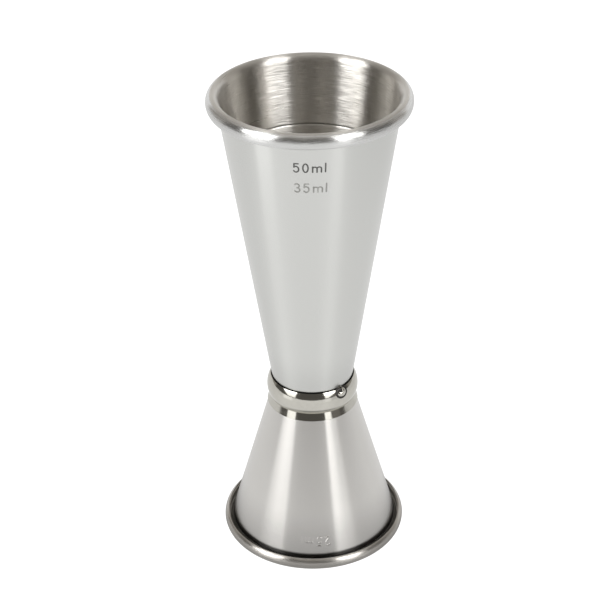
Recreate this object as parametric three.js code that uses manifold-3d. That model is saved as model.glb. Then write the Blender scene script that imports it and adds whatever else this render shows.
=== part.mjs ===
// Double-ended bar jigger: a tall upper cup and a short lower cup joined floor to floor inside a waist ring.
// Millimetres, +Z up. The axis of both cups is Z, and the jigger stands at z = 0 on the lower cup's rolled rim.
import * as THREE from "three";
import { mergeVertices } from "three/addons/utils/BufferGeometryUtils.js";
import Module from "manifold-3d";

// ---- driving dimensions ----
const HEIGHT = 119; // over both rolled rims
const SHEET = 0.75; // steel sheet both cups are spun from
const SEGMENTS = 48; // facets round each turned shape
const RIM_FLAT = 0.5; // width of the flat land on each rim

const JOINT_Z = 41.65; // plane where the two cup floors meet
const WELD_THICKNESS = 0.4; // brazed disc between the floors
const WELD_RADIUS = 7.3;
const FLOOR_BEND = 1.4; // bend from a floor into its wall, at the middle of the sheet

const UPPER_NECK = 9.13; // middle of the upper wall at the joint plane
const UPPER_RIM = 23.49; // outside of the upper rolled rim
const UPPER_ROLL_WIDTH = 1.55; // half the width of the upper roll
const UPPER_ROLL_HEIGHT = 1.95; // half the height of the upper roll
const UPPER_ROLL_START = 170; // degrees round the roll where the wall runs into it
const UPPER_ROLL_END = -46; // degrees round the roll where the sheet's edge stops

const LOWER_NECK = 9.05; // middle of the lower wall at the joint plane
const LOWER_RIM = 22.72; // outside of the lower rolled rim
const LOWER_ROLL_WIDTH = 1.3; // half the width of the lower roll
const LOWER_ROLL_HEIGHT = 1.62; // half the height of the lower roll
const LOWER_ROLL_START = 196; // degrees round the roll where the wall runs into it
const LOWER_ROLL_END = 435; // degrees round the roll where the sheet's edge stops, short of the wall

const LINE_Z = 102.41; // rolled 35 ml line inside the upper cup
const LINE_WIDTH = 0.8;
const LINE_DEPTH = 0.16;

const RING_TOP = 44.3;
const RING_BOTTOM = 38.66; // lower end of the ring's bead
const RING_FOOT = 36.87; // lower edge of the thin foot that flares out below the bead
const FOOT_TOP_THICKNESS = 0.07;
const FOOT_THICKNESS = 0.32; // at the foot's lower edge
const GROOVE_WIDTH = 0.26; // gap between the ring's top edge and the upper cup
const GROOVE_DEPTH = 0.7;
const RING_EDGE = 0.06; // thickness left at the ring's top edge
const BEAD_RADIUS = 11.1; // largest radius of the bead
const BEAD_WIDEST_Z = 41.2;
const BORE_CLEARANCE = 0.03; // between the ring's bore and the cups

const TACK_RADIUS = 1.35; // drop of weld that holds the ring
const TACK_DEPTH = 0.95; // its half-thickness, square to the ring's face
const TACK_Z = 43.3;
const TACK_AZIMUTH = 41; // degrees from -Y towards +X
const TACK_GAP = 0.04; // left between the drop and what it sits on

// ---- section helpers, all in (radius, height) ----
const degrees = THREE.MathUtils.degToRad;
const at = (radius, height) => new THREE.Vector2(radius, height);

function arc(centre, halfWidth, halfHeight, from, to, steps) {
  const points = [];
  for (let i = 0; i <= steps; i++) {
    const angle = degrees(THREE.MathUtils.lerp(from, to, i / steps));
    points.push(at(centre.x + halfWidth * Math.cos(angle), centre.y + halfHeight * Math.sin(angle)));
  }
  return points;
}

// An open line moved sideways by a distance, to the right as it is walked from its first point.
function sideways(line, distance) {
  return line.map((point, i) => {
    const before = line[Math.max(i - 1, 0)];
    const after = line[Math.min(i + 1, line.length - 1)];
    const arriving = point.clone().sub(before).normalize();
    const leaving = after.clone().sub(point).normalize();
    const along = arriving.clone().add(leaving).normalize();
    const reach = distance / along.dot(arriving.lengthSq() > 0 ? arriving : leaving);
    return at(point.x + along.y * reach, point.y - along.x * reach);
  });
}

// How far a roll is sunk so that its crown becomes a flat land of the stated width.
const landSink = (halfWidth, halfHeight) =>
  halfHeight * (1 - Math.sqrt(1 - (RIM_FLAT / 2 / halfWidth) ** 2));

// Replaces the crown of a rolled rim with its flat land.
function withLand(face, radius, height) {
  const distances = face.map((point) => point.distanceTo(at(radius, height)));
  const crown = distances.indexOf(Math.min(...distances));
  return face.toSpliced(crown, 1, at(radius - RIM_FLAT / 2, height), at(radius + RIM_FLAT / 2, height));
}

// Spins a section round Z. A section that doesn't start on the axis is closed on itself.
function turned(section) {
  const loop = section[0].x > 0 ? [...section, section[0]] : section;
  return new THREE.LatheGeometry(loop, SEGMENTS).rotateX(Math.PI / 2);
}

// Middle of a cup's sheet, from the floor's centre round the bend and up the wall to its rolled rim.
// up is 1 for the cup that opens upwards and -1 for the one that opens downwards.
function cupLine(up, neckRadius, rim) {
  const floor = JOINT_Z + (up * (WELD_THICKNESS + SHEET)) / 2;
  const slope = (rim[0].x - neckRadius) / (rim[0].y - JOINT_Z);
  const lean = Math.atan(Math.abs(slope));
  const bendZ = floor + up * FLOOR_BEND;
  const wallRadius = neckRadius + slope * (bendZ - JOINT_Z);
  const bend = at(wallRadius - FLOOR_BEND / Math.cos(lean), bendZ);
  const lastDegrees = -THREE.MathUtils.radToDeg(lean);
  return [at(0, floor), ...arc(bend, FLOOR_BEND, up * FLOOR_BEND, -90, lastDegrees, BEND_STEPS), ...rim];
}
const BEND_STEPS = 5;

// Radius of a cup's outer face on its straight wall.
function wallRadiusAt(face, height) {
  const [low, high] = face.slice(BEND_STEPS + 1, BEND_STEPS + 3);
  return THREE.MathUtils.lerp(low.x, high.x, (height - low.y) / (high.y - low.y));
}

// ---- upper cup ----
const upperRoll = at(
  UPPER_RIM - UPPER_ROLL_WIDTH,
  HEIGHT - UPPER_ROLL_HEIGHT + landSink(UPPER_ROLL_WIDTH, UPPER_ROLL_HEIGHT),
);
const upperHalfWidth = UPPER_ROLL_WIDTH - SHEET / 2;
const upperHalfHeight = UPPER_ROLL_HEIGHT - SHEET / 2;
const upperRim = [
  ...arc(upperRoll, upperHalfWidth, upperHalfHeight, UPPER_ROLL_START, 90, 6),
  ...arc(upperRoll, upperHalfWidth, upperHalfHeight, 90, UPPER_ROLL_END, 10).slice(1),
];
const upperLine = cupLine(1, UPPER_NECK, upperRim);
const upperOuter = sideways(upperLine, SHEET / 2);
const upperInner = sideways(upperLine, -SHEET / 2);
const linePoints = [-1, 0, 1].map((side) => {
  const height = LINE_Z + (side * LINE_WIDTH) / 2;
  const depth = side === 0 ? LINE_DEPTH : 0;
  return at(wallRadiusAt(upperInner, height) + depth, height);
});
upperInner.splice(BEND_STEPS + 2, 0, ...linePoints);
const upperSection = [...upperOuter, ...withLand(upperInner, upperRoll.x, HEIGHT).toReversed()];

// ---- lower cup ----
const lowerRoll = at(
  LOWER_RIM - LOWER_ROLL_WIDTH,
  LOWER_ROLL_HEIGHT - landSink(LOWER_ROLL_WIDTH, LOWER_ROLL_HEIGHT),
);
const lowerHalfWidth = LOWER_ROLL_WIDTH - SHEET / 2;
const lowerHalfHeight = LOWER_ROLL_HEIGHT - SHEET / 2;
const lowerRim = [
  ...arc(lowerRoll, lowerHalfWidth, lowerHalfHeight, LOWER_ROLL_START, 270, 5),
  ...arc(lowerRoll, lowerHalfWidth, lowerHalfHeight, 270, LOWER_ROLL_END, 11).slice(1),
];
const lowerLine = cupLine(-1, LOWER_NECK, lowerRim);
const lowerInner = sideways(lowerLine, SHEET / 2);
const lowerOuter = sideways(lowerLine, -SHEET / 2);
const lowerSection = [...withLand(lowerInner, lowerRoll.x, 0), ...lowerOuter.toReversed()];

// ---- waist ring: a bead over the joint and a thin foot below it, bored to sit on both cups ----
const boreAt = (height) => wallRadiusAt(height > JOINT_Z ? upperOuter : lowerOuter, height) + BORE_CLEARANCE;
const beadTop = at(boreAt(RING_TOP) + GROOVE_WIDTH + RING_EDGE, RING_TOP);
const beadBottom = at(boreAt(RING_BOTTOM) + FOOT_TOP_THICKNESS, RING_BOTTOM);

// Radius of the arc that is upright at the bead's widest point and passes through one of its ends.
function beadCurve(end) {
  const inset = BEAD_RADIUS - end.x;
  return ((end.y - BEAD_WIDEST_Z) ** 2 + inset ** 2) / (2 * inset);
}

// The bead's face from its widest point to one of its ends.
function beadFace(end) {
  const curve = beadCurve(end);
  const endAngle = THREE.MathUtils.radToDeg(Math.asin((end.y - BEAD_WIDEST_Z) / curve));
  return arc(at(BEAD_RADIUS - curve, BEAD_WIDEST_Z), curve, curve, 0, endAngle, 7);
}
const bead = [...beadFace(beadBottom).toReversed(), ...beadFace(beadTop).slice(1)];
const ringSection = [
  at(boreAt(RING_FOOT), RING_FOOT),
  at(boreAt(RING_FOOT) + FOOT_THICKNESS, RING_FOOT),
  ...bead,
  at(beadTop.x - RING_EDGE, RING_TOP),
  at(boreAt(RING_TOP - GROOVE_DEPTH), RING_TOP - GROOVE_DEPTH),
  at(Math.max(boreAt(JOINT_Z), boreAt(JOINT_Z + 0.001)), JOINT_Z),
];

// ---- brazed disc between the floors ----
const weldSection = [
  at(0, JOINT_Z - WELD_THICKNESS / 2),
  at(WELD_RADIUS, JOINT_Z - WELD_THICKNESS / 2),
  at(WELD_RADIUS, JOINT_Z + WELD_THICKNESS / 2),
  at(0, JOINT_Z + WELD_THICKNESS / 2),
];

// ---- drop of weld on the ring, trimmed to the ring and the upper cup ----
const wasm = await Module();
wasm.setup();

function solid(geometry) {
  const bare = geometry.clone();
  bare.deleteAttribute("normal");
  bare.deleteAttribute("uv");
  const merged = mergeVertices(bare, 1e-4);
  return new wasm.Manifold(
    new wasm.Mesh({
      numProp: 3,
      vertProperties: merged.attributes.position.array,
      triVerts: new Uint32Array(merged.index.array),
    }),
  );
}

function geometryOf(manifold) {
  const mesh = manifold.getMesh();
  const geometry = new THREE.BufferGeometry();
  geometry.setAttribute("position", new THREE.BufferAttribute(mesh.vertProperties, 3));
  geometry.setIndex(new THREE.BufferAttribute(mesh.triVerts, 1));
  return geometry;
}

const tackAngle = degrees(TACK_AZIMUTH);
const faceCurve = beadCurve(beadTop);
const faceAngle = Math.asin((TACK_Z - BEAD_WIDEST_Z) / faceCurve);
const faceRadius = BEAD_RADIUS - faceCurve * (1 - Math.cos(faceAngle));
const drop = new THREE.SphereGeometry(1, 20, 12)
  .scale(TACK_RADIUS, TACK_DEPTH, TACK_RADIUS)
  .rotateX(-faceAngle)
  .translate(0, -faceRadius, TACK_Z)
  .rotateZ(tackAngle);
const ringSpace = [
  at(boreAt(RING_TOP) - 1, RING_BOTTOM),
  ...sideways(bead, TACK_GAP),
  at(boreAt(RING_TOP) - 1, RING_TOP + TACK_GAP),
];
const cupSpace = [
  at(0, JOINT_Z),
  at(wallRadiusAt(upperOuter, JOINT_Z) + TACK_GAP, JOINT_Z),
  at(wallRadiusAt(upperOuter, RING_TOP + 3) + TACK_GAP, RING_TOP + 3),
  at(0, RING_TOP + 3),
];
const trimmedDrop = solid(drop).subtract(solid(turned(ringSpace))).subtract(solid(turned(cupSpace)));

// ---- the jigger ----
const brushed = { color: 0xc9c8c4, roughness: 0.32, metalness: 1 };
const polished = { color: 0xd6d5d1, roughness: 0.06, metalness: 1 };
const weld = { color: 0xa9a49a, roughness: 0.35, metalness: 1 };

const jigger = new THREE.Group();
jigger.name = "bar_jigger";
function place(name, geometry, look) {
  const mesh = new THREE.Mesh(geometry, new THREE.MeshStandardMaterial(look));
  mesh.name = name;
  jigger.add(mesh);
}
place("upper_cup", turned(upperSection), brushed);
place("lower_cup", turned(lowerSection), brushed);
place("waist_ring", turned(ringSection), polished);
place("floor_braze", turned(weldSection), weld);
place("ring_tack", geometryOf(trimmedDrop), polished);

export default jigger;
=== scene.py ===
"""Bar jigger: fine surfaces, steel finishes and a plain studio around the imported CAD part. Metres, +Z up."""
import math

import bmesh
import bpy
from mathutils import Matrix, Vector


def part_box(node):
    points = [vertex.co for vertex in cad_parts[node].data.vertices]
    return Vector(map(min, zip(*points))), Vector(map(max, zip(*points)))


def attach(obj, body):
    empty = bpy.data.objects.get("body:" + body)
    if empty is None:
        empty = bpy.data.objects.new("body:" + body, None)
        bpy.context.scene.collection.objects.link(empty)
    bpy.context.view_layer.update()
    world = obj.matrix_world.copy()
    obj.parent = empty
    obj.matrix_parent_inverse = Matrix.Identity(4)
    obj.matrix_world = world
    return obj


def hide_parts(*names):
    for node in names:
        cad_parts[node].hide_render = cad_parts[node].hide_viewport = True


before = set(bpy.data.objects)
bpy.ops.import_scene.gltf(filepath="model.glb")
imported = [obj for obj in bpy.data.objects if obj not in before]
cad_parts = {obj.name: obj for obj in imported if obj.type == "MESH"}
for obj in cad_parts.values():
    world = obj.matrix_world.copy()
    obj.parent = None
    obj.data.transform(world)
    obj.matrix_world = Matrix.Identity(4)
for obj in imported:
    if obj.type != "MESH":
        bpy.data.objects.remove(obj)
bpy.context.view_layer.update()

MM = 0.001
TURNS = 256  # facets round each turned piece

# ---- sizes read from the CAD part ----
upper_low, upper_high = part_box("upper_cup")
lower_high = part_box("lower_cup")[1]
ring_low, ring_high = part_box("waist_ring")
HEIGHT = upper_high[2]
UPPER_RIM = upper_high[0]
LOWER_RIM = lower_high[0]
BEAD_RADIUS = ring_high[0]
RING_TOP = ring_high[2]
RING_FOOT = ring_low[2]
JOINT_Z = (upper_low[2] + lower_high[2]) / 2
BRAZE = upper_low[2] - lower_high[2]

# ---- sizes shared with the CAD part's section; a roll's ends are in degrees round its ellipse ----
SHEET = 0.75 * MM
RIM_FLAT = 0.5 * MM
FLOOR_BEND = 1.4 * MM
UPPER_NECK = 9.13 * MM
UPPER_ROLL_WIDTH = 1.55 * MM
UPPER_ROLL_HEIGHT = 1.95 * MM
UPPER_ROLL_START = 170
UPPER_ROLL_END = -46
LOWER_NECK = 9.05 * MM
LOWER_ROLL_WIDTH = 1.3 * MM
LOWER_ROLL_HEIGHT = 1.62 * MM
LOWER_ROLL_START = 196
LOWER_ROLL_END = 435
LINE_Z = 102.41 * MM
LINE_WIDTH = 0.8 * MM
LINE_DEPTH = 0.16 * MM
RING_BOTTOM = 38.66 * MM
FOOT_TOP_THICKNESS = 0.11 * MM
FOOT_THICKNESS = 0.32 * MM
GROOVE_WIDTH = 0.26 * MM
GROOVE_DEPTH = 0.7 * MM
RING_EDGE = 0.06 * MM
FOOT_ROUND = 0.05 * MM
BEAD_WIDEST_Z = 41.2 * MM
BORE_CLEARANCE = 0.03 * MM
ON_AXIS = 1e-9


# ---- sections, as (radius, height) ----
def arc(centre, half_width, half_height, start, end, steps):
    points = []
    for i in range(steps + 1):
        angle = math.radians(start + (end - start) * i / steps)
        across = half_width * math.cos(angle)
        up = half_height * math.sin(angle)
        points.append(Vector((centre[0] + across, centre[1] + up)))
    return points


def between(a, b, steps):
    """Points from a to b, without either end."""
    return [a.lerp(b, i / steps) for i in range(1, steps)]


def sideways(line, distance):
    """The open line moved sideways, to the right as it is walked."""
    moved = []
    for i, point in enumerate(line):
        arriving = (point - line[i - 1]).normalized() if i else (line[1] - point).normalized()
        leaving = (line[i + 1] - point).normalized() if i < len(line) - 1 else arriving
        along = (arriving + leaving).normalized()
        reach = distance / along.dot(arriving)
        moved.append(Vector((point.x + along.y * reach, point.y - along.x * reach)))
    return moved


def land_sink(half_width, half_height):
    """How far a roll is sunk so that its crown becomes a flat land."""
    return half_height * (1 - math.sqrt(1 - (RIM_FLAT / 2 / half_width) ** 2))


def cup_line(up, neck, rim, wall_steps):
    """The middle of a cup's sheet, from the centre of its floor to the end of its roll. up is 1 or -1."""
    floor = JOINT_Z + up * (BRAZE + SHEET) / 2
    slope = (rim[0].x - neck) / (rim[0].y - JOINT_Z)
    lean = math.atan(abs(slope))
    bend_z = floor + up * FLOOR_BEND
    bend = (neck + slope * (bend_z - JOINT_Z) - FLOOR_BEND / math.cos(lean), bend_z)
    corner = arc(bend, FLOOR_BEND, up * FLOOR_BEND, -90, -math.degrees(lean), 10)
    centre = Vector((0, floor))
    return [centre, *between(centre, corner[0], 6), *corner, *between(corner[-1], rim[0], wall_steps), *rim]


def rounded_edge(a, b, steps=6):
    """A half-round edge that joins the two faces of a sheet."""
    middle = (a + b) / 2
    half = (a - b) / 2
    outwards = Vector((half.y, -half.x))
    turns = [math.pi * i / steps for i in range(1, steps)]
    return [middle + half * math.cos(t) + outwards * math.sin(t) for t in turns]


def clipped(points):
    """The points, with none past the flat lands that the jigger stands on."""
    return [Vector((p.x, min(max(p.y, 0.0), HEIGHT))) for p in points]


upper_sink = land_sink(UPPER_ROLL_WIDTH, UPPER_ROLL_HEIGHT)
upper_roll = (UPPER_RIM - UPPER_ROLL_WIDTH, HEIGHT - UPPER_ROLL_HEIGHT + upper_sink)
upper_rim = arc(
    upper_roll,
    UPPER_ROLL_WIDTH - SHEET / 2,
    UPPER_ROLL_HEIGHT - SHEET / 2,
    UPPER_ROLL_START,
    UPPER_ROLL_END,
    54,
)
upper_line = cup_line(1, UPPER_NECK, upper_rim, 60)
upper_outer = sideways(upper_line, SHEET / 2)
upper_inner = sideways(upper_line, -SHEET / 2)


LINE_STEPS = 12


def with_capacity_line(face):
    """Presses a rounded line into the inner face."""
    cut = []
    for a, b in zip(face, face[1:]):
        cut.append(a)
        if a.y < LINE_Z <= b.y:
            for i in range(LINE_STEPS + 1):
                share = (LINE_Z + LINE_WIDTH * (i / LINE_STEPS - 0.5) - a.y) / (b.y - a.y)
                depth = LINE_DEPTH * (0.5 - 0.5 * math.cos(2 * math.pi * i / LINE_STEPS))
                cut.append(a.lerp(b, share) + Vector((depth, 0)))
    return [*cut, face[-1]]


def inside_runs(points):
    """Runs of the inner face from the rim down; the upper slope of the capacity line is its own zone, for
    painted shade.
    """
    start = next(i for i, point in enumerate(points) if point.y <= LINE_Z + LINE_WIDTH / 2)
    middle = next(i for i, point in enumerate(points) if point.y <= LINE_Z)
    return [("inside", points[:start]), ("line", points[start:middle]), ("inside", points[middle:])]


UPPER_CURL = len(upper_rim)
BRUSHED_CURL = 26  # points of the roll that the brushing of the inside runs over
INNER_CURL = BRUSHED_CURL - UPPER_CURL
upper_runs = [
    ("outside", upper_outer[:-UPPER_CURL]),
    ("rim", [*upper_outer[-UPPER_CURL:], *rounded_edge(upper_outer[-1], upper_inner[-1])]),
    ("rim", upper_inner[: INNER_CURL - 1 : -1]),
    *inside_runs(with_capacity_line(upper_inner[:INNER_CURL])[::-1]),
]
lower_sink = land_sink(LOWER_ROLL_WIDTH, LOWER_ROLL_HEIGHT)
lower_roll = (LOWER_RIM - LOWER_ROLL_WIDTH, LOWER_ROLL_HEIGHT - lower_sink)
lower_rim = arc(
    lower_roll,
    LOWER_ROLL_WIDTH - SHEET / 2,
    LOWER_ROLL_HEIGHT - SHEET / 2,
    LOWER_ROLL_START,
    LOWER_ROLL_END,
    60,
)
lower_line = cup_line(-1, LOWER_NECK, lower_rim, 40)
lower_inner = sideways(lower_line, SHEET / 2)
lower_outer = sideways(lower_line, -SHEET / 2)
LOWER_CURL = len(lower_rim)
lower_runs = [
    ("inside", lower_inner[:-LOWER_CURL]),
    ("rim", [*lower_inner[-LOWER_CURL:], *rounded_edge(lower_inner[-1], lower_outer[-1])]),
    ("fold", lower_outer[: -LOWER_CURL - 1 : -1]),
    ("outside", lower_outer[:-LOWER_CURL][::-1]),
]


FLOOR_EDGE = 0.9 * UPPER_NECK  # radius that parts the floors from the walls
WALL_POINT = 18  # a point of a face that is on the straight wall, just past the floor's bend


def wall_radius(face, z):
    """A face's radius at a height. Where the face doesn't reach it, the straight wall is carried on."""
    low, high = face[WALL_POINT], face[WALL_POINT + 1]
    for a, b in zip(face, face[1:]):
        if a.x > FLOOR_EDGE and (a.y - z) * (b.y - z) <= 0 and a.y != b.y:
            low, high = a, b
            break
    return low.x + (high.x - low.x) * (z - low.y) / (high.y - low.y)


def bore(z):
    """The radius of the ring's inside at a height."""
    return wall_radius(upper_outer if z > JOINT_Z else lower_outer, z) + BORE_CLEARANCE


bead_top = Vector((bore(RING_TOP) + GROOVE_WIDTH + RING_EDGE, RING_TOP))
bead_bottom = Vector((bore(RING_BOTTOM) + FOOT_TOP_THICKNESS, RING_BOTTOM))


def bead_face(end):
    """The bead's face from its widest point to one of its ends."""
    inset = BEAD_RADIUS - end.x
    curve = ((end.y - BEAD_WIDEST_Z) ** 2 + inset**2) / (2 * inset)
    end_angle = math.degrees(math.asin((end.y - BEAD_WIDEST_Z) / curve))
    return arc((BEAD_RADIUS - curve, BEAD_WIDEST_Z), curve, curve, 0, end_angle, 24)


foot_low = Vector((bore(RING_FOOT) + FOOT_THICKNESS, RING_FOOT))
foot_inner = Vector((foot_low.x - FOOT_ROUND, RING_FOOT))
groove_floor = Vector((bore(RING_TOP - GROOVE_DEPTH), RING_TOP - GROOVE_DEPTH))
joint_corner = Vector((max(bore(JOINT_Z), bore(JOINT_Z + 1e-6)), JOINT_Z))
ring_runs = [
    ("bore", [Vector((bore(RING_FOOT), RING_FOOT))]),
    ("face", [foot_inner, foot_low.lerp(bead_bottom, 0.03), *between(foot_low, bead_bottom, 8)]),
    ("face", [*reversed(bead_face(bead_bottom)), *bead_face(bead_top)[1:]]),
    ("bore", [Vector((bead_top.x - RING_EDGE, RING_TOP)), groove_floor, joint_corner]),
]


def link(name, mesh, smooth_degrees=32):
    """Makes an object of a bmesh, smooth apart from edges sharper than an angle."""
    bmesh.ops.recalc_face_normals(mesh, faces=mesh.faces)
    for face in mesh.faces:
        face.smooth = True
    for edge in mesh.edges:
        if len(edge.link_faces) == 2 and edge.calc_face_angle(0) > math.radians(smooth_degrees):
            edge.smooth = False
    data = bpy.data.meshes.new(name)
    mesh.to_mesh(data)
    mesh.free()
    piece = bpy.data.objects.new(name, data)
    bpy.context.collection.objects.link(piece)
    return piece


def turned(name, runs, materials):
    """Spins a section round Z into one closed mesh. The section is runs of (zone, points), and each zone
    has its own material."""
    section = [(zone, point) for zone, points in runs for point in clipped(points)]
    zones = list(materials)
    mesh = bmesh.new()
    rings = []
    for _, point in section:
        if point.x < ON_AXIS:
            rings.append([mesh.verts.new((0, 0, point.y))])
            continue
        turns = [2 * math.pi * i / TURNS for i in range(TURNS)]
        rings.append([mesh.verts.new((point.x * math.cos(t), point.x * math.sin(t), point.y)) for t in turns])
    pairs = list(zip(rings, rings[1:], section))
    if section[0][1].x > ON_AXIS:
        pairs.append((rings[-1], rings[0], section[-1]))
    for low, high, (zone, _) in pairs:
        for i in range(TURNS):
            j = (i + 1) % TURNS
            corners = [low[i % len(low)], low[j % len(low)], high[j % len(high)], high[i % len(high)]]
            corners = list(dict.fromkeys(corners))
            if len(corners) > 2:
                mesh.faces.new(corners).material_index = zones.index(zone)
    piece = link(name, mesh)
    for material in materials.values():
        piece.data.materials.append(material)
    return piece


# ---- capacity marks: round-ended strokes laid on a cone, as (across, up) in millimetres ----
STROKE = 0.36
DIGIT_HIGH = 2.22
ARCH = 0.965  # width of one arch of the m
# across a stroke: share of its half width, and share of how far it is raised
STROKE_SECTION = ((-1, -1.5), (-1, 0.2), (-0.6, 0.8), (0, 1), (0.6, 0.8), (1, 0.2), (1, -1.5))


def sweep(centre, half_width, half_height, start, end):
    return [tuple(p) for p in arc(centre, half_width, half_height, start, end, 20)]


def straight(*corners):
    return [tuple(Vector(corners[0]).lerp(Vector(corners[1]), i / 6)) for i in range(7)]


GLYPHS = {
    "0": [sweep((0.57, 1.11), 0.57, 1.11, 0, 360)],
    "2": [
        sweep((0.55, 1.62), 0.54, 0.6, 160, -35),
        straight((0.99, 1.28), (0.02, 0)),
        straight((0.02, 0), (1.12, 0)),
    ],
    "3": [
        sweep((0.5, 1.68), 0.5, 0.54, 150, -90),
        sweep((0.52, 0.58), 0.58, 0.58, 90, -150),
    ],
    "5": [
        straight((1.02, DIGIT_HIGH), (0.14, DIGIT_HIGH)),
        straight((0.14, DIGIT_HIGH), (0.08, 1.26)),
        sweep((0.5, 0.76), 0.6, 0.76, 132, -145),
    ],
    "m": [
        straight((0, 0), (0, 1.4)),
        sweep((ARCH / 2, 0.92), ARCH / 2, 0.44, 180, 0),
        straight((ARCH, 0.92), (ARCH, 0)),
        sweep((ARCH * 1.5, 0.92), ARCH / 2, 0.44, 180, 0),
        straight((2 * ARCH, 0.92), (2 * ARCH, 0)),
    ],
    "l": [straight((0, 0), (0, DIGIT_HIGH))],
}
PLACES = (0, 2.03, 4.16, 7.0)  # left side of each sign
MARK_WIDE = 7.0


def with_round_ends(line):
    """Points along a stroke with its half width at each, narrowing in a half circle past both ends."""
    half = STROKE / 2
    cap = [(half * math.sin(t), half * math.cos(t)) for t in (math.radians(a) for a in (80, 60, 35))]
    first, last = Vector(line[0]), Vector(line[-1])
    back = (first - Vector(line[1])).normalized()
    ahead = (last - Vector(line[-2])).normalized()
    path = [(first + back * d, w) for d, w in cap]
    path += [(Vector(p), half) for p in line]
    return path + [(last + ahead * d, w) for d, w in reversed(cap)]


def mark(name, text, face, low_z, centre_degrees, raised, upside_down=False):
    """A capacity mark wrapped on a cup's outer face. low_z is the height of its lower side, in metres, and
    raised is how far it stands proud, in millimetres."""
    mesh = bmesh.new()
    turn = -1 if upside_down else 1
    slope = (wall_radius(face, low_z + MM) - wall_radius(face, low_z)) / MM
    upright = 1 / math.hypot(1, slope)
    middle_radius = wall_radius(face, low_z + MM)

    def placed(across, up, proud):
        across = (across - MARK_WIDE / 2) * turn
        up = (DIGIT_HIGH - up) if upside_down else up
        z = low_z + up * upright * MM
        radius = wall_radius(face, z) + proud * MM / upright
        azimuth = math.radians(centre_degrees) + across * MM / middle_radius
        return radius * math.sin(azimuth), -radius * math.cos(azimuth), z

    for sign, left in zip(text, PLACES):
        for line in GLYPHS[sign]:
            path = with_round_ends(line)
            loops = []
            for i, (point, half) in enumerate(path):
                ahead = path[min(i + 1, len(path) - 1)][0] - path[max(i - 1, 0)][0]
                side = Vector((-ahead.y, ahead.x)).normalized()
                loop = []
                for t, lift in STROKE_SECTION:
                    spot = point + side * (t * half)
                    loop.append(mesh.verts.new(placed(spot.x + left, spot.y, raised * lift)))
                loops.append(loop)
            count = len(STROKE_SECTION)
            for low, high in zip(loops, loops[1:]):
                for i in range(count):
                    mesh.faces.new([low[i], low[(i + 1) % count], high[(i + 1) % count], high[i]])
            mesh.faces.new(loops[0])
            mesh.faces.new(loops[-1][::-1])
    return link(name, mesh, 60)


# ---- drop of weld bridging the ring and the upper cup ----
TACK_Z = 43.5 * MM
TACK_AZIMUTH = 41
TACK_RINGS = 18
TACK_SIDES = 48
TACK_WIDENING = 1.1  # width over height
TACK_DOME = 0.66  # share of the radius that the bright dome takes; the skirt round it is painted shade
TACK_SKIRT = 0.05 * MM  # how far the skirt stands proud
TACK_SINK = 0.06 * MM  # how far the skirt's edge is sunk in the metal under it
TACK_NOTCH = math.radians(125)  # where the notch points, round the drop
NOTCH_SPREAD = 0.7  # half width of the notch, in radians round the drop
NOTCH_DEPTH = 0.85  # share of the dome's height
NOTCH_DARK = 0.75  # half width of the notch's faces that are painted shade, in radians
BEND_REACH = 0.7 * MM  # reach either way over which the drop's facing is averaged


def tack_drop(name, radius, rise):
    """A dome with a hollow skirt, bent over the bead, the ring's groove and the cup's wall. Its skirt and
    notch are painted shade.
    """
    line = bead_face(bead_top)
    for above in (0.25, 1.0, 2.0, 3.0):
        z = RING_TOP + above * MM
        line.append(Vector((wall_radius(upper_outer, z), z)))
    start = min(range(len(line)), key=lambda i: abs(line[i].y - TACK_Z))

    def along(distance):
        step = 1 if distance > 0 else -1
        left = abs(distance)
        here = start
        while 0 <= here + step < len(line):
            length = (line[here + step] - line[here]).length
            if length >= left:
                return line[here].lerp(line[here + step], left / length)
            left -= length
            here += step
        return line[here]

    def placed(across, up, proud):
        spot = along(up)
        run = (along(up + BEND_REACH) - along(up - BEND_REACH)).normalized()
        outwards = Vector((run.y, -run.x))
        r, z = spot + outwards * proud
        azimuth = math.radians(TACK_AZIMUTH) + across / BEAD_RADIUS
        return r * math.sin(azimuth), -r * math.cos(azimuth), z

    mesh = bmesh.new()
    top = mesh.verts.new(placed(0, 0, rise))
    rings = []
    for i in range(1, TACK_RINGS + 1):
        share = i / TACK_RINGS
        fall = min(share / TACK_DOME, 1)
        low = TACK_SKIRT if i < TACK_RINGS else -TACK_SINK
        ring = []
        for t in range(TACK_SIDES):
            turn = 2 * math.pi * t / TACK_SIDES
            notch = math.exp(-(((turn - TACK_NOTCH) / NOTCH_SPREAD) ** 2)) * min(3 * share, 1)
            proud = low + (rise - low) * (1 - fall * fall) ** 0.6 * (1 - NOTCH_DEPTH * notch)
            reach = radius * share
            across = TACK_WIDENING * reach * math.cos(turn)
            ring.append(mesh.verts.new(placed(across, reach * math.sin(turn), proud)))
        rings.append(ring)
    bottom = mesh.verts.new(placed(0, 0, -0.1 * MM))  # inside the metal
    for t in range(TACK_SIDES):
        k = (t + 1) % TACK_SIDES
        # the notch's and skirt's faces take the second material, painted shade
        in_notch = abs(2 * math.pi * (t + 0.5) / TACK_SIDES - TACK_NOTCH) < NOTCH_DARK
        mesh.faces.new([top, rings[0][t], rings[0][k]]).material_index = 1 if in_notch else 0
        for i, (inner, outer) in enumerate(zip(rings, rings[1:])):
            face = mesh.faces.new([inner[t], outer[t], outer[k], inner[k]])
            on_skirt = (i + 1) / TACK_RINGS >= TACK_DOME
            face.material_index = 1 if on_skirt or in_notch else 0
        mesh.faces.new([rings[-1][t], bottom, rings[-1][k]])
    return link(name, mesh, 60)


# ---- materials ----
# brushing, as noise scales along it and across it
FINE_LINES = (2.0, 5200)
WIDE_LINES = (1.0, 900)
SWAYING_LINES = (1.5, 4500)
SCORED_LINES = (6.0, 14000)
HAIR_LINES = (3.0, 9000)
CREASE_DARK = 0.24  # tone of the painted shade at the bottom of a crease
CREASE_SPECKLE = 0.4 * MM  # how far the edge of a crease's painted shade wanders up and down
SHADE_CLEARING_HEIGHT = 11 * MM  # height over which the fainter painted shade above a crease clears


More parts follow.
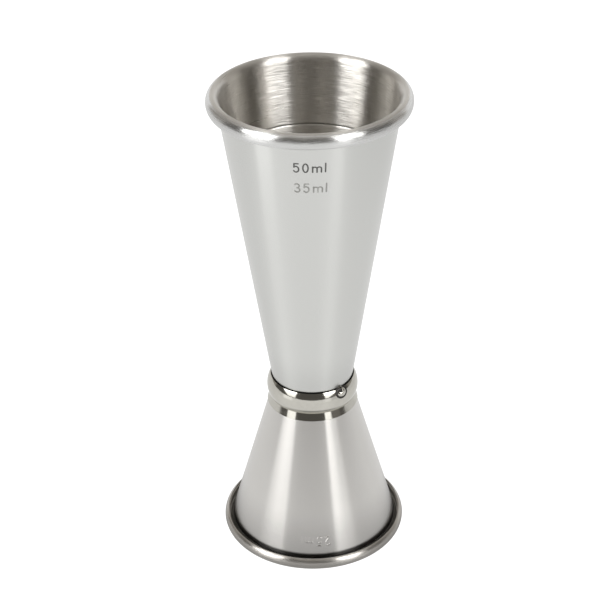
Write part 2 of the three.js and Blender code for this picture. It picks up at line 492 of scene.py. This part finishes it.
class Nodes:
    """A short way to write node trees."""

    def __init__(self, tree):
        self.tree = tree
        tree.nodes.clear()

    def add(self, kind, inputs=None, **settings):
        node = self.tree.nodes.new(kind)
        for name, value in settings.items():
            setattr(node, name, value)
        for name, value in (inputs or {}).items():
            if isinstance(value, bpy.types.NodeSocket):
                self.tree.links.new(value, node.inputs[name])
            else:
                node.inputs[name].default_value = value
        return node

    def math(self, operation, a, b=0.0):
        return self.add("ShaderNodeMath", {0: a, 1: b}, operation=operation).outputs[0]

    def vector(self, operation, a, b):
        return self.add("ShaderNodeVectorMath", {0: a, 1: b}, operation=operation).outputs[0]

    def scaled(self, vector, amount):
        node = self.add("ShaderNodeVectorMath", {0: vector, "Scale": amount}, operation="SCALE")
        return node.outputs[0]

    def span(self, value, low, high, to_low, to_high, smooth=False):
        kind = "SMOOTHSTEP" if smooth else "LINEAR"
        return self.add(
            "ShaderNodeMapRange", {0: value, 1: low, 2: high, 3: to_low, 4: to_high}, interpolation_type=kind
        ).outputs[0]

    def spread(self, noise, to_low, to_high):
        """Maps the middle part of a noise, where most of its values lie."""
        return self.span(noise, 0.3, 0.7, to_low, to_high)

    def noise(self, place, scale=1.0, detail=2.0, roughness=0.5):
        inputs = {"Vector": place, "Scale": scale, "Detail": detail, "Roughness": roughness}
        return self.add("ShaderNodeTexNoise", inputs).outputs[0]


def round_places(n, along, across):
    """Coordinates that follow the brushing round Z: slow along it and quick across it, with no seam."""
    place = n.add("ShaderNodeTexCoord").outputs["Object"]
    x, y, z = n.add("ShaderNodeSeparateXYZ", {0: place}).outputs
    radius = n.math("SQRT", n.math("ADD", n.math("MULTIPLY", x, x), n.math("MULTIPLY", y, y)))
    safe = n.math("MAXIMUM", radius, 1e-5)
    height = n.math("ADD", z, n.math("MULTIPLY", radius, 0.35))
    return n.add("ShaderNodeCombineXYZ", {
        0: n.math("MULTIPLY", n.math("DIVIDE", x, safe), along),
        1: n.math("MULTIPLY", n.math("DIVIDE", y, safe), along),
        2: n.math("MULTIPLY", height, across),
    }).outputs[0]


def brushed_steel(name, colour, roughness, anisotropic, lines, waver, grooves=0.0, crease_shade=None):
    """Steel brushed round Z. lines is how strongly the brushing shows, waver how far it sways reflections
    sideways, and grooves how far it sways them up and down. The last argument is painted shade for a crease:
    the height where it is darkest, the height where it clears, and the level of a fainter painted shade just
    above."""
    material = bpy.data.materials.new(name)
    material.use_nodes = True
    n = Nodes(material.node_tree)
    fine = n.noise(round_places(n, *FINE_LINES), detail=3.0, roughness=0.65)
    wide = n.noise(round_places(n, *WIDE_LINES))
    sway = n.noise(round_places(n, *SWAYING_LINES), detail=2.0, roughness=0.6)
    object_place = n.add("ShaderNodeTexCoord").outputs["Object"]
    handled = n.noise(object_place, 70.0, 3.0, 0.55)
    rough = n.math("ADD", roughness, n.spread(fine, -0.05 * lines, 0.05 * lines))
    rough = n.math("ADD", rough, n.spread(wide, -0.012 * lines, 0.012 * lines))
    rough = n.math("ADD", rough, n.span(handled, 0.35, 0.7, -0.02 * lines, 0.03 * lines))
    both = n.math("ADD", n.math("MULTIPLY", fine, 0.6), n.math("MULTIPLY", wide, 0.4))
    tone = n.spread(both, 1 - 0.06 * lines, 1 + 0.05 * lines)
    # painted shade: darkest in the crease, with a fainter painted shade above it that clears with height
    if crease_shade:
        dark, shade_end, shade_above_level = crease_shade
        height = n.add("ShaderNodeSeparateXYZ", {0: object_place}).outputs[2]
        speck = n.math("MULTIPLY", n.math("SUBTRACT", handled, 0.5), CREASE_SPECKLE)
        height = n.math("ADD", height, speck)
        crease = n.span(height, dark, shade_end, CREASE_DARK, 1.0, smooth=True)
        shade_above = n.span(height, shade_end, shade_end + SHADE_CLEARING_HEIGHT, shade_above_level, 1.0, smooth=True)
        tone = n.math("MULTIPLY", n.math("MULTIPLY", tone, crease), shade_above)
    shade = n.add("ShaderNodeCombineXYZ", {0: tone, 1: tone, 2: tone}).outputs[0]
    normal = n.add("ShaderNodeNewGeometry").outputs["Normal"]
    tangent = n.add("ShaderNodeTangent", direction_type="RADIAL", axis="Z").outputs[0]
    tilt = n.scaled(tangent, n.spread(sway, -waver, waver))
    if grooves:
        scored = n.noise(round_places(n, *SCORED_LINES), detail=1.0)
        upwards = n.vector("CROSS_PRODUCT", normal, tangent)
        tilt = n.vector("ADD", tilt, n.scaled(upwards, n.spread(scored, -grooves, grooves)))
    normal = n.vector("NORMALIZE", n.vector("ADD", normal, tilt), (0, 0, 0))
    bump = n.add("ShaderNodeBump", {
        "Strength": min(0.25 * lines, 1.0),
        "Distance": 0.00002,
        "Height": n.math("ADD", fine, n.math("MULTIPLY", wide, 0.15)),
        "Normal": normal,
    }).outputs[0]
    shader = n.add("ShaderNodeBsdfPrincipled", {
        "Base Color": n.vector("MULTIPLY", shade, colour),
        "Metallic": 1.0,
        "Roughness": rough,
        "Anisotropic": anisotropic,
        "Anisotropic Rotation": 0.25,
        "Tangent": tangent,
        "Normal": bump,
    })
    n.add("ShaderNodeOutputMaterial", {0: shader.outputs[0]})
    return material


def polished_steel(name, colour, roughness):
    """Mirror-polished steel with faint waves, haze and round hairlines."""
    material = bpy.data.materials.new(name)
    material.use_nodes = True
    n = Nodes(material.node_tree)
    place = n.add("ShaderNodeTexCoord").outputs["Object"]
    waves = n.noise(place, 260.0)
    haze = n.noise(place, 900.0, 4.0, 0.6)
    hair = n.noise(round_places(n, *HAIR_LINES))
    rough = n.math("ADD", roughness, n.span(haze, 0.4, 0.75, 0.0, 0.05))
    bump = n.add("ShaderNodeBump", {"Strength": 0.35, "Distance": 0.00006, "Height": waves}).outputs[0]
    hairlines = {"Strength": 0.08, "Distance": 0.00001, "Height": hair, "Normal": bump}
    bump = n.add("ShaderNodeBump", hairlines).outputs[0]
    stain = n.span(haze, 0.3, 0.8, 1.0, 0.93)
    shade = n.add("ShaderNodeCombineXYZ", {0: stain, 1: stain, 2: stain}).outputs[0]
    shader = n.add("ShaderNodeBsdfPrincipled", {
        "Base Color": n.vector("MULTIPLY", shade, colour),
        "Metallic": 1.0,
        "Roughness": rough,
        "Normal": bump,
    })
    n.add("ShaderNodeOutputMaterial", {0: shader.outputs[0]})
    return material


def etched_mark(name, colour, worn):
    """Darkened, slightly grainy metal of an etched mark. worn is how much of it has rubbed off."""
    material = bpy.data.materials.new(name)
    material.use_nodes = True
    n = Nodes(material.node_tree)
    place = n.add("ShaderNodeTexCoord").outputs["Object"]
    grain = n.noise(place, 5000.0, 3.0, 0.6)
    rubbed = n.noise(place, 700.0, 3.0, 0.6)
    tone = n.math("ADD", n.span(rubbed, 0.4, 0.65, 1.0, 1.0 + worn), n.spread(grain, -0.12, 0.12))
    shade = n.add("ShaderNodeCombineXYZ", {0: tone, 1: tone, 2: tone}).outputs[0]
    bump = n.add("ShaderNodeBump", {"Strength": 0.3, "Distance": 0.00001, "Height": grain}).outputs[0]
    shader = n.add("ShaderNodeBsdfPrincipled", {
        "Base Color": n.vector("MULTIPLY", shade, colour),
        "Metallic": 1.0,
        "Roughness": n.spread(grain, 0.4, 0.55),
        "Normal": bump,
    })
    n.add("ShaderNodeOutputMaterial", {0: shader.outputs[0]})
    return material


# painted shade on the outer faces: where the ring meets the upper cup, and in the crease over the base roll
upper_crease_shade = (RING_TOP + 0.05 * MM, RING_TOP + 0.45 * MM, 0.9)
lower_crease_shade = (3.1 * MM, 3.8 * MM, 0.74)
upper_outside = brushed_steel(
    "upper_satin", (0.653, 0.656, 0.636), 0.205, 0.9, 0.1, 0.0, crease_shade=upper_crease_shade
)
lower_outside = brushed_steel(
    "lower_satin", (0.67, 0.655, 0.63), 0.2, 0.97, 0.15, 0.0015, crease_shade=lower_crease_shade
)
inside = brushed_steel("inner_satin", (0.655, 0.635, 0.60), 0.32, 1.0, 0.8, 0.015, grooves=0.22)
rim = brushed_steel("rim_steel", (0.655, 0.655, 0.645), 0.26, 0.9, 0.8, 0.0, grooves=0.14)
# darker steel on the capacity line's upper slope: painted shade
line_shade = brushed_steel("line_shadow", (0.30, 0.29, 0.275), 0.4, 0.6, 0.5, 0.0)
base_rim = brushed_steel("base_rim_steel", (0.50, 0.48, 0.45), 0.3, 0.85, 0.8, 0.0, grooves=0.12)
# darker steel in the base roll's fold and the ring's bore: painted shade
crease_shade = brushed_steel("crease_painted_shade", (0.45, 0.44, 0.42), 0.5, 0.1, 0.5, 0.0)
# near-black steel on the tack drop's skirt and notch: painted shade
tack_shade = brushed_steel("tack_painted_shade", (0.06, 0.057, 0.054), 0.4, 0.1, 0.5, 0.0)
mirror = polished_steel("mirror_steel", (0.57, 0.555, 0.505), 0.085)
braze = brushed_steel("dull_braze", (0.5, 0.47, 0.42), 0.45, 0.1, 1.0, 0.0)
dark_etch = etched_mark("dark_etch", (0.12, 0.12, 0.115), 0.4)
faint_etch = etched_mark("faint_etch", (0.30, 0.30, 0.285), 0.5)

upper = turned(
    "upper_cup_steel",
    upper_runs,
    {"outside": upper_outside, "rim": rim, "inside": inside, "line": line_shade},
)
lower = turned(
    "lower_cup_steel",
    lower_runs,
    {"outside": lower_outside, "rim": base_rim, "fold": crease_shade, "inside": inside},
)
ring = turned("waist_ring_polished", ring_runs, {"face": mirror, "bore": crease_shade})
drop = tack_drop("ring_tack_drop", 1.75 * MM, 0.62 * MM)
drop.data.materials.append(mirror)
drop.data.materials.append(tack_shade)
mark_50 = mark("mark_50ml", "50ml", upper_outer, 108.8 * MM, -0.4, 0.02)
mark_50.data.materials.append(dark_etch)
mark_35 = mark("mark_35ml", "35ml", upper_outer, 103.5 * MM, 0.1, 0.02)
mark_35.data.materials.append(faint_etch)
mark_25 = mark("mark_25ml", "25ml", lower_outer, 5.5 * MM, 1.4, 0.11, upside_down=True)
mark_25.data.materials.append(lower_outside)
for piece, slot, node in (
    (upper, "upper_steel", "upper_cup"),
    (lower, "lower_steel", "lower_cup"),
    (ring, "ring_steel", "waist_ring"),
    (drop, "tack_metal", "ring_tack"),
    (mark_50, "upper_steel", None),
    (mark_35, "upper_steel", None),
    (mark_25, "lower_steel", None),
):
    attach(piece, "root")
    if node:
        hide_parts(node)
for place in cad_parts["floor_braze"].material_slots:
    place.material = braze

# ---- plain studio ----
FLOOR_HALF = 1.2
FLOOR_GLOW = 0.86  # strength that reflections see
FLOOR_SEEN = 1.1  # strength that the camera sees, which is plain white
BASE_SHADE = 0.45  # level of the floor at the foot of the jigger
BASE_SHADE_FROM, BASE_SHADE_TO = 0.024, 0.034  # radii between which that shade clears
FAR_FROM, FAR_TO = 0.12, 0.2  # radii between which the near levels give way to the far ones
# light levels round the object: azimuth from the camera's side, positive to its right, and level
NEAR_FLOOR = [
    (-180, 0.9), (-105, 0.9), (-68, 1.03), (-25, 1.0), (10, 1.0), (33, 1.05), (60, 0.93), (180, 0.88),
]
FAR_FLOOR = [
    (-180, 0.88), (-76, 0.9), (-69, 1.5), (-53, 1.5), (-46, 1.05), (24, 1.05), (31, 1.25), (40, 1.25),
    (47, 0.8), (180, 0.82),
]
SURROUND = [
    (-180, 1.0), (-142, 1.0), (-134, 0.35), (-106, 0.35), (-101, 0.11), (49, 0.11), (50, 0.2),
    (67, 0.2), (71, 0.11), (94, 0.11), (102, 0.35), (120, 0.35), (130, 1.0), (180, 1.0),
]


def level_round(n, azimuth, levels):
    """A level that changes with azimuth, in degrees."""
    ramp = n.add("ShaderNodeValToRGB", {0: n.span(azimuth, -180, 180, 0, 1)})
    elements = ramp.color_ramp.elements
    while len(elements) < len(levels):
        elements.new(0.5)
    for element, (degrees, level) in zip(elements, levels):
        element.position = (degrees + 180) / 360
        element.color = (level, level, level, 1)
    return ramp.outputs[0]


def studio_floor():
    """A plain pale floor that gives its own light."""
    mesh = bmesh.new()
    bmesh.ops.create_grid(mesh, x_segments=8, y_segments=8, size=FLOOR_HALF)
    data = bpy.data.meshes.new("studio_floor")
    mesh.to_mesh(data)
    mesh.free()
    floor = bpy.data.objects.new("studio_floor", data)
    bpy.context.collection.objects.link(floor)
    white = bpy.data.materials.new("floor_white")
    white.use_nodes = True
    n = Nodes(white.node_tree)
    seen = n.add("ShaderNodeLightPath").outputs["Is Camera Ray"]
    place = n.add("ShaderNodeTexCoord").outputs["Object"]
    x, y, _ = n.add("ShaderNodeSeparateXYZ", {0: place}).outputs
    azimuth = n.math("DEGREES", n.math("ARCTAN2", x, n.math("MULTIPLY", y, -1.0)))
    radius = n.math("SQRT", n.math("ADD", n.math("MULTIPLY", x, x), n.math("MULTIPLY", y, y)))
    shade = n.span(radius, BASE_SHADE_FROM, BASE_SHADE_TO, BASE_SHADE, 1.0, smooth=True)
    near = n.math("MULTIPLY", level_round(n, azimuth, NEAR_FLOOR), shade)
    far = level_round(n, azimuth, FAR_FLOOR)
    share = n.span(radius, FAR_FROM, FAR_TO, 0, 1, smooth=True)
    near_part = n.math("MULTIPLY", near, n.math("SUBTRACT", 1.0, share))
    level = n.math("ADD", near_part, n.math("MULTIPLY", far, share))
    strength = n.math("MAXIMUM", n.math("MULTIPLY", level, FLOOR_GLOW), n.math("MULTIPLY", seen, FLOOR_SEEN))
    paper = n.add("ShaderNodeBsdfDiffuse", {"Color": (0.1, 0.1, 0.1, 1)})
    lit = n.add("ShaderNodeEmission", {"Color": (1, 1, 1, 1), "Strength": strength})
    both = n.add("ShaderNodeAddShader", {0: paper.outputs[0], 1: lit.outputs[0]})
    n.add("ShaderNodeOutputMaterial", {0: both.outputs[0]})
    data.materials.append(white)


studio_floor()

OVERHEAD = 0.68  # level of the ceiling
OVERHEAD_FROM, OVERHEAD_TO = 30, 85  # elevations between which the surround gives way to it
WALL_TOP = 0.45  # level of the top of the lit wall
WALL_FADE_FROM, WALL_FADE_TO = 10, 36  # elevations between which the wall dims
# azimuths of each softbox's sides; past level_to its foot climbs by rise for each degree
SOFTBOXES = (
    {"inner": -42, "outer": -79, "level_to": -61, "rise": 0.85},
    {"inner": 30, "outer": 60, "level_to": 38, "rise": 0.65},
)
SOFTBOX_FOOT = 1.0  # elevation
SOFTBOX_LEVELS = ((0, 1.5), (12, 1.8), (24, 6.4), (38, 6.4), (54, 1.2))  # elevation and radiance
SOFTBOX_TOP_FROM, SOFTBOX_TOP_TO = 52, 70  # elevations between which a softbox fades out
DARK_TINT = (1.0, 0.95, 0.88)  # colour of the darker parts of the room


def studio_world():
    """A dim studio with a lit wall behind the object, a soft ceiling and two upright softboxes in front."""
    scene_world = bpy.data.worlds.new("studio")
    scene_world.use_nodes = True
    bpy.context.scene.world = scene_world
    n = Nodes(scene_world.node_tree)
    direction = n.add("ShaderNodeTexCoord").outputs["Generated"]
    x, y, z = n.add("ShaderNodeSeparateXYZ", {0: direction}).outputs
    azimuth = n.math("DEGREES", n.math("ARCTAN2", x, n.math("MULTIPLY", y, -1.0)))
    elevation = n.math("DEGREES", n.math("ARCSINE", z))
    around = level_round(n, azimuth, SURROUND)
    wall = n.span(elevation, WALL_FADE_FROM, WALL_FADE_TO, 1.0, WALL_TOP, smooth=True)
    around = n.math("MINIMUM", around, wall)
    overhead = n.span(elevation, OVERHEAD_FROM, OVERHEAD_TO, 0, 1)
    surround = n.math("MULTIPLY", around, n.math("SUBTRACT", 1.0, overhead))
    dim = n.math("ADD", surround, n.math("MULTIPLY", overhead, OVERHEAD))
    tint = {0: n.span(dim, 0.4, 1.0, 0, 1), 1: (*DARK_TINT, 1), 2: (1, 1, 1, 1)}
    room = n.add("ShaderNodeMixRGB", tint)
    colour = n.scaled(room.outputs[0], dim)
    for box in SOFTBOXES:
        side = 1 if box["outer"] > 0 else -1
        outwards = n.math("MULTIPLY", azimuth, side)
        inner, outer, level_to = abs(box["inner"]), abs(box["outer"]), abs(box["level_to"])
        across = n.math(
            "MULTIPLY",
            n.span(outwards, inner - 1.5, inner + 1.5, 0, 1, smooth=True),
            n.span(outwards, outer - 3, outer + 3, 1, 0, smooth=True),
        )
        past = n.math("MAXIMUM", n.math("SUBTRACT", outwards, level_to), 0.0)
        climb = n.math("MULTIPLY", past, box["rise"])
        foot = n.math("SUBTRACT", n.math("SUBTRACT", elevation, climb), SOFTBOX_FOOT)
        shape = n.math("MULTIPLY", across, n.span(foot, -1, 1, 0, 1, smooth=True))
        strength = SOFTBOX_LEVELS[0][1]
        for (low, level), (high, next_level) in zip(SOFTBOX_LEVELS, SOFTBOX_LEVELS[1:]):
            strength = n.math("ADD", strength, n.span(elevation, low, high, 0, next_level - level))
        top = n.span(elevation, SOFTBOX_TOP_FROM, SOFTBOX_TOP_TO, 1, 0, smooth=True)
        shape = n.math("MULTIPLY", shape, top)
        box_light = n.math("MULTIPLY", shape, strength)
        lit = n.add("ShaderNodeCombineXYZ", {0: box_light, 1: box_light, 2: box_light}).outputs[0]
        colour = n.vector("ADD", colour, lit)
    glow = n.add("ShaderNodeBackground", {"Color": colour, "Strength": 1.0})
    plain = n.add("ShaderNodeBackground", {"Color": (1, 1, 1, 1), "Strength": 1.0})
    seen = n.add("ShaderNodeLightPath").outputs["Is Camera Ray"]
    mixed = n.add("ShaderNodeMixShader", {0: seen, 1: glow.outputs[0], 2: plain.outputs[0]})
    n.add("ShaderNodeOutputWorld", {0: mixed.outputs[0]})


studio_world()

# ---- camera ----
CAMERA_PLACE = Vector((0, -0.36827, 0.28548))
PITCH = math.radians(31.037)
YAW = math.radians(-0.3215)
ROLL = math.radians(-0.7506)
SENSOR = 36
FOCAL_WIDTHS = 2.9572277  # focal length over the sensor's width
forward = Vector((math.sin(YAW) * math.cos(PITCH), math.cos(YAW) * math.cos(PITCH), -math.sin(PITCH)))
right = Vector((math.cos(YAW), -math.sin(YAW), 0))
up = right.cross(forward)
tilted_right = right * math.cos(ROLL) + up * math.sin(ROLL)
tilted_up = up * math.cos(ROLL) - right * math.sin(ROLL)
camera_data = bpy.data.cameras.new("camera")
camera_data.sensor_width = SENSOR
camera_data.lens = FOCAL_WIDTHS * SENSOR
camera_data.clip_start = 0.01
camera = bpy.data.objects.new("camera", camera_data)
turned_axes = Matrix((tilted_right, tilted_up, -forward)).transposed().to_4x4()
camera.matrix_world = Matrix.Translation(CAMERA_PLACE) @ turned_axes
bpy.context.collection.objects.link(camera)
bpy.context.scene.camera = camera
bpy.context.scene.view_settings.view_transform = "Standard"
